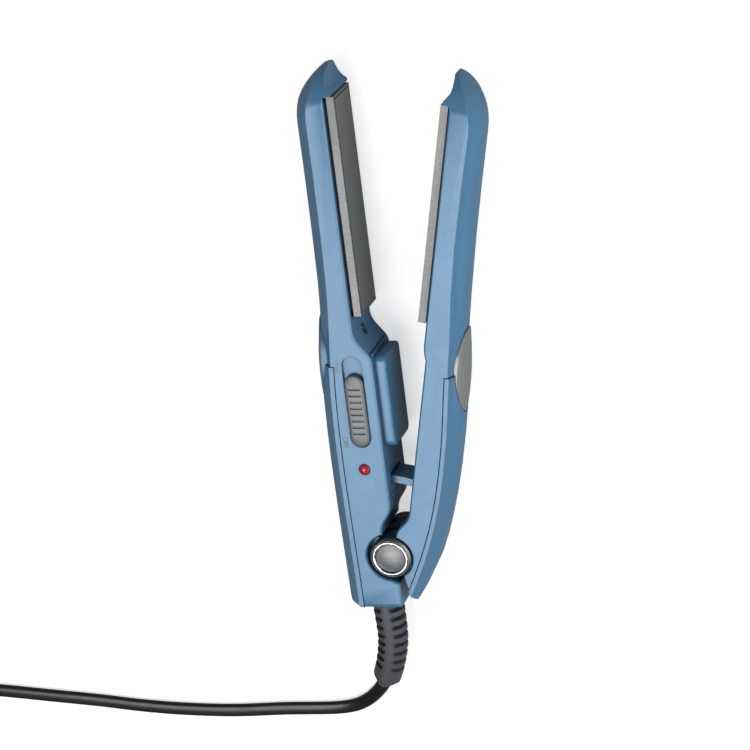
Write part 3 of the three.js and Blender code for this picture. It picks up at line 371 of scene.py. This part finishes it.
class Finish:
    """A material with one Principled shader, its coordinates and its groups."""

    def __init__(self, name, color, roughness, metallic=0.0, **constants):
        self.material = bpy.data.materials.new(name)
        self.material.use_nodes = True
        self.tree = self.material.node_tree
        self.tree.nodes.clear()
        self.shader = self.tree.nodes.new("ShaderNodeBsdfPrincipled")
        output = self.tree.nodes.new("ShaderNodeOutputMaterial")
        self.tree.links.new(self.shader.outputs["BSDF"], output.inputs["Surface"])
        self.at = self.tree.nodes.new("ShaderNodeTexCoord").outputs["Object"]
        self.shader.inputs["Base Color"].default_value = (*color, 1.0)
        self.shader.inputs["Roughness"].default_value = roughness
        self.shader.inputs["Metallic"].default_value = metallic
        for label, value in constants.items():
            self.shader.inputs[label.replace("_", " ")].default_value = value

    def use(self, tree, **values):
        made = self.tree.nodes.new("ShaderNodeGroup")
        made.node_tree = tree
        self.tree.links.new(self.at, made.inputs["Coordinates"])
        for label, value in values.items():
            made.inputs[label.replace("_", " ")].default_value = value
        return made.outputs

    def mix(self, fac, a, b):
        """A colour between a and b. Either is a colour or a socket."""
        made = self.tree.nodes.new("ShaderNodeMix")
        made.data_type = "RGBA"
        self.tree.links.new(fac, made.inputs["Factor"])
        for index, value in ((6, a), (7, b)):
            if isinstance(value, bpy.types.NodeSocket):
                self.tree.links.new(value, made.inputs[index])
            else:
                made.inputs[index].default_value = (*value, 1.0)
        return made.outputs[2]

    def scaled(self, fac, low, high):
        return ramp(self.tree, fac, 0.0, 1.0, low, high)

    def color(self, socket):
        self.tree.links.new(socket, self.shader.inputs["Base Color"])

    def roughness(self, socket):
        self.tree.links.new(socket, self.shader.inputs["Roughness"])

    def bump(self, height, depth, normal=None):
        made = self.tree.nodes.new("ShaderNodeBump")
        made.inputs["Distance"].default_value = depth
        self.tree.links.new(height, made.inputs["Height"])
        if normal is not None:
            self.tree.links.new(normal, made.inputs["Normal"])
        self.tree.links.new(made.outputs["Normal"], self.shader.inputs["Normal"])


def tone(color, factor):
    return tuple(min(1.0, channel * factor) for channel in color)


def metallic_plastic(name, color, roughness, metallic, worn):
    """Satin plastic with fine flake, rubbed edges, faint handling marks, and painted shade that darkens
    its seams and recesses.
    """
    finish = Finish(name, color, roughness, metallic, Coat_Weight=0.4, Coat_Roughness=0.22)
    grain = finish.use(GRAIN, Scale=1500.0)
    flake = finish.use(FLAKE, Scale=5200.0, Share=0.16)
    wear = finish.use(WEAR, Radius=0.00035)
    marks = finish.use(HANDLING, Scale=70.0)
    drift = finish.mix(grain["Tone"], tone(color, 0.965), tone(color, 1.03))
    flecked = finish.mix(finish.scaled(flake["Mask"], 0.0, 0.22), drift, tone(color, 1.5))
    rubbed = finish.mix(finish.scaled(wear["Mask"], 0.0, 0.5), flecked, worn)
    # painted shade: the cavity mask darkens seams, recesses and inner corners in the base colour,
    # towards a fifth of the colour
    recess_painted_shade = finish.use(PAINTED_RECESS_SHADE, Reach=0.005)
    finish.color(finish.mix(finish.scaled(recess_painted_shade["Mask"], 0.0, 0.8), rubbed, tone(color, 0.2)))
    finish.roughness(finish.scaled(marks["Smudge"], roughness, roughness + 0.07))
    finish.bump(grain["Height"], 0.00001, wear["Rounded Normal"])
    return finish.material


def plain_plastic(name, color, roughness, grain_depth=0.00002, scale=900.0, **constants):
    """Moulded plastic or rubber with grain, drift of tone, worn edges and dust."""
    finish = Finish(name, color, roughness, 0.0, **constants)
    grain = finish.use(GRAIN, Scale=scale)
    wear = finish.use(WEAR, Radius=0.0003)
    marks = finish.use(HANDLING, Scale=90.0)
    drift = finish.mix(grain["Tone"], tone(color, 0.9), tone(color, 1.1))
    rubbed = finish.mix(finish.scaled(wear["Mask"], 0.0, 0.45), drift, tone(color, 1.6))
    dusty = finish.mix(finish.scaled(marks["Dust"], 0.0, 0.25), rubbed, (0.5, 0.5, 0.48))
    finish.color(dusty)
    finish.roughness(finish.scaled(marks["Smudge"], roughness, roughness + 0.1))
    finish.bump(grain["Height"], grain_depth, wear["Rounded Normal"])
    return finish.material


def brushed_metal(name, color, roughness, stretch, depth=0.00001, **constants):
    """Metal brushed along one axis."""
    finish = Finish(name, color, roughness, 1.0, **constants)
    streaks = finish.use(BRUSHED, Stretch=stretch)
    wear = finish.use(WEAR, Radius=0.00025)
    marks = finish.use(HANDLING, Scale=110.0)
    lines = finish.mix(streaks["Streak"], tone(color, 0.86), tone(color, 1.1))
    finish.color(finish.mix(finish.scaled(wear["Mask"], 0.0, 0.5), lines, tone(color, 1.4)))
    finish.roughness(finish.scaled(marks["Smudge"], roughness, roughness + 0.12))
    finish.bump(streaks["Height"], depth, wear["Rounded Normal"])
    return finish.material


def speckled_metal(name, color, roughness):
    """Blasted aluminium, light with fine dark and bright specks."""
    finish = Finish(name, color, roughness, 0.7)
    bright = finish.use(FLAKE, Scale=2600.0, Share=0.3)
    grain = finish.use(GRAIN, Scale=1800.0)
    wear = finish.use(WEAR, Radius=0.0002)
    specks = finish.mix(bright["Mask"], tone(color, 0.82), tone(color, 1.25))
    finish.color(finish.mix(grain["Height"], specks, tone(color, 1.05)))
    finish.roughness(finish.scaled(grain["Tone"], roughness, roughness + 0.1))
    finish.bump(grain["Height"], 0.00003, wear["Rounded Normal"])
    return finish.material


def coated_plate(name, color):
    """Ceramic-coated plate: satin, with faint streaks along it and a slight sparkle."""
    finish = Finish(name, color, 0.34, 0.45, Coat_Weight=0.3, Coat_Roughness=0.3)
    streaks = finish.use(BRUSHED, Stretch=(1600.0, 18.0, 1600.0))
    flake = finish.use(FLAKE, Scale=6000.0, Share=0.1)
    marks = finish.use(HANDLING, Scale=40.0)
    lines = finish.mix(streaks["Streak"], tone(color, 0.93), tone(color, 1.06))
    finish.color(finish.mix(finish.scaled(flake["Mask"], 0.0, 0.3), lines, tone(color, 1.8)))
    finish.roughness(finish.scaled(marks["Smudge"], 0.3, 0.4))
    finish.bump(streaks["Height"], 0.000006)
    return finish.material


def lamp_lens(name):
    """Red moulded lens, its red drifting a little at random."""
    finish = Finish(name, (0.45, 0.01, 0.008), 0.12, 0.0, Coat_Weight=0.6, Coat_Roughness=0.05,
                    Subsurface_Weight=0.15)
    finish.shader.inputs["Subsurface Radius"].default_value = (0.002, 0.0004, 0.0003)
    grain = finish.use(GRAIN, Scale=700.0)
    finish.color(finish.mix(grain["Tone"], (0.40, 0.008, 0.007), (0.55, 0.02, 0.015)))
    finish.bump(grain["Height"], 0.000015)
    return finish.material


BLUE = (0.085, 0.24, 0.42)
MATERIALS = {
    "blue_plastic": metallic_plastic("satin_blue_plastic", BLUE, 0.3, 0.12, (0.3, 0.5, 0.7)),
    "silver_badge": metallic_plastic("silver_badge", (0.33, 0.345, 0.35), 0.33, 0.5,
                                     (0.62, 0.64, 0.65)),
    "grey_plastic": metallic_plastic("light_grey_button", (0.19, 0.2, 0.205), 0.38, 0.15,
                                     (0.45, 0.46, 0.47)),
    "aluminium": speckled_metal("blasted_aluminium", (0.29, 0.295, 0.295), 0.45),
    "plate_coating": coated_plate("grey_plate_coating", (0.24, 0.26, 0.255)),
    "ceramic": plain_plastic("white_ceramic", (0.75, 0.72, 0.65), 0.7),
    "heat_plastic": plain_plastic("dark_heat_plastic", (0.035, 0.03, 0.028), 0.6),
    "brushed_metal": brushed_metal("brushed_cap", (0.24, 0.25, 0.25), 0.42,
                                   (60.0, 1800.0, 60.0)),
    "chrome": brushed_metal("bright_ring", (0.86, 0.87, 0.88), 0.08, (300.0, 300.0, 300.0),
                            0.000003),
    "steel": brushed_metal("bright_steel", (0.56, 0.56, 0.57), 0.25, (900.0, 60.0, 900.0)),
    "circuit_board": plain_plastic("green_board", (0.03, 0.15, 0.05), 0.4),
    "black_plastic": plain_plastic("black_switch_plastic", (0.015, 0.015, 0.016), 0.45),
    "red_lens": lamp_lens("red_lamp_lens"),
    "red_wire": plain_plastic("red_lead", (0.36, 0.03, 0.02), 0.4),
    "white_wire": plain_plastic("white_lead", (0.65, 0.63, 0.58), 0.4),
    "dark_rubber": plain_plastic("dark_soft_sleeve", (0.085, 0.09, 0.105), 0.4, 0.00003, 700.0),
    "cord_black": plain_plastic("black_cord_jacket", (0.012, 0.012, 0.014), 0.28, 0.00001, 500.0,
                                Coat_Weight=0.3, Coat_Roughness=0.15),
}


# ---------------------------------------------------------------- small details

MID_Z = 13.2
HALF_WIDTH = 12                 # from the middle of the arms to their flat sides
FLAT_Z = MID_Z + HALF_WIDTH
SCREW_AT = (-4.9, 87.2)
SCREW_HEAD = 1.75
CROSS_ARM = 0.28
CROSS_REACH = 1.05
CROSS_DEPTH = 0.5
HEAD_HEIGHT = 0.75
HEAD_DROP = 0.35                # from its middle to its rim
HEAD_SEAT = 0.05
PRINT_SIZE = 2.6
PRINT_LIFT = 0.03
PRINT_THICKNESS = 0.02


def screw_head():
    """A small cross-head screw at the bottom of its recess, facing the throat."""
    rings, sides = 12, 48
    points = []
    for i in range(rings + 1):
        radius = SCREW_HEAD * i / rings
        for k in range(sides):
            turn = 2 * math.pi * k / sides
            u, w = radius * math.cos(turn), radius * math.sin(turn)
            arm = max(abs(u), abs(w)) < CROSS_REACH and min(abs(u), abs(w)) < CROSS_ARM
            dome = HEAD_HEIGHT - HEAD_DROP * (radius / SCREW_HEAD) ** 2
            proud = dome - (CROSS_DEPTH if arm else 0)
            points.append(Vector((SCREW_AT[0] + proud, SCREW_AT[1] + u, MID_Z + w)) * MM)
    faces = []
    for i in range(rings):
        for k in range(sides):
            a, b = i * sides + k, i * sides + (k + 1) % sides
            faces.append((a, b, b + sides, a + sides))
    rim = rings * sides
    base = len(points)
    points += [Vector(((SCREW_AT[0] + HEAD_SEAT) * MM, point.y, point.z))
               for point in points[rim:rim + sides]]
    for k in range(sides):
        a, b = rim + k, rim + (k + 1) % sides
        faces.append((a, b, base + (k + 1) % sides, base + k))
    faces.append(tuple(base + k for k in range(sides)))
    head = add_mesh("recessed_screw", points, faces, smooth=False)
    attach(head, "base_arm")
    return head


def printed_word(name, text, at):
    """A word printed on the flat side, turned so that it reads towards the hinge."""
    curve = bpy.data.curves.new(name, "FONT")
    curve.body = text
    curve.size = PRINT_SIZE * MM
    curve.align_x = "CENTER"
    curve.align_y = "CENTER"
    curve.extrude = PRINT_THICKNESS * MM
    letters = bpy.data.objects.new(name, curve)
    bpy.context.collection.objects.link(letters)
    depsgraph = bpy.context.evaluated_depsgraph_get()
    mesh = bpy.data.meshes.new_from_object(letters.evaluated_get(depsgraph))
    bpy.data.objects.remove(letters)
    mesh.transform(Matrix.Translation((at[0] * MM, at[1] * MM, (FLAT_Z + PRINT_LIFT) * MM))
                   @ Matrix.Rotation(math.radians(-90), 4, "Z"))
    word = bpy.data.objects.new(name, mesh)
    bpy.context.collection.objects.link(word)
    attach(word, "base_arm")
    return word


DETAILS = {
    screw_head(): "steel",
    printed_word("print_on", "ON", (-11.5, 76.2)): "grey_plastic",
    printed_word("print_off", "OFF", (-11.9, 46.8)): "grey_plastic",
}


# ---------------------------------------------------------------- dressing the pieces

SHARP_ANGLE = 28
WELD_DISTANCE = 0.002


def dress(piece, slot):
    piece.data.materials.clear()
    piece.data.materials.append(MATERIALS[slot])


def smooth_by_angle(piece, degrees):
    """Shades a CAD piece smooth and keeps its real edges sharp."""
    piece.data.polygons.foreach_set("use_smooth", [True] * len(piece.data.polygons))
    weld = piece.modifiers.new("weld", "WELD")
    weld.merge_threshold = WELD_DISTANCE * MM
    split = piece.modifiers.new("edges", "EDGE_SPLIT")
    split.split_angle = math.radians(degrees)


for part in frame["record"]["subparts"]:
    dress(nodes[part["node"]], part["material_slot"])
    smooth_by_angle(nodes[part["node"]], SHARP_ANGLE)
dress(cord, "cord_black")
dress(tie, "black_plastic")
for piece, slot in DETAILS.items():
    dress(piece, slot)

# ---------------------------------------------------------------- floor and light


FLOOR_HALF = 1.3


def make_floor():
    """White paper. It is brighter to the camera than in reflections, so the coves stay dark."""
    corners = [(x * FLOOR_HALF, y * FLOOR_HALF, 0.0) for x, y in ((-1, -1), (1, -1), (1, 1), (-1, 1))]
    floor = add_mesh("floor", corners, [(0, 1, 2, 3)])
    material = bpy.data.materials.new("white_paper")
    material.use_nodes = True
    shader = material.node_tree.nodes["Principled BSDF"]
    tree = material.node_tree
    seen = node(tree, "ShaderNodeLightPath").outputs["Is Camera Ray"]
    shader.inputs["Roughness"].default_value = 0.9
    shader.inputs["Emission Color"].default_value = (1, 1, 1, 1)
    tree.links.new(ramp(tree, seen, 0.0, 1.0, 0.3, 0.9), shader.inputs["Base Color"])
    tree.links.new(ramp(tree, seen, 0.0, 1.0, 0.05, 0.6), shader.inputs["Emission Strength"])
    floor.data.materials.append(material)


def area_light(name, at, aim, size, power):
    data = bpy.data.lights.new(name, "AREA")
    data.shape = "RECTANGLE"
    data.size, data.size_y = size
    data.energy = power
    light = bpy.data.objects.new(name, data)
    light.location = at
    light.rotation_mode = "QUATERNION"
    light.rotation_quaternion = (Vector(aim) - Vector(at)).to_track_quat("-Z", "Y")
    bpy.context.collection.objects.link(light)


def make_light():
    world = bpy.data.worlds.new("studio")
    world.use_nodes = True
    tree = world.node_tree
    background = tree.nodes["Background"]
    direction = tree.nodes.new("ShaderNodeTexCoord").outputs["Generated"]
    height = tree.nodes.new("ShaderNodeSeparateXYZ")
    tree.links.new(direction, height.inputs["Vector"])
    shade = tree.nodes.new("ShaderNodeValToRGB")
    tree.links.new(height.outputs["Z"], shade.inputs["Fac"])
    shade.color_ramp.elements[0].position = 0.05
    shade.color_ramp.elements[0].color = (0.03, 0.035, 0.045, 1)
    shade.color_ramp.elements[1].position = 0.75
    shade.color_ramp.elements[1].color = (0.75, 0.78, 0.8, 1)
    tree.links.new(shade.outputs["Color"], background.inputs["Color"])
    background.inputs["Strength"].default_value = 0.28
    bpy.context.scene.world = world
    middle = (0.0, 0.06, 0.0)
    area_light("overhead", (-0.35, -0.35, 1.5), middle, (0.9, 0.9), 10)
    area_light("right_card", (0.48, 0.08, 0.27), middle, (0.7, 0.45), 2.2)


make_floor()
make_light()
bpy.context.scene.view_settings.view_transform = "Standard"
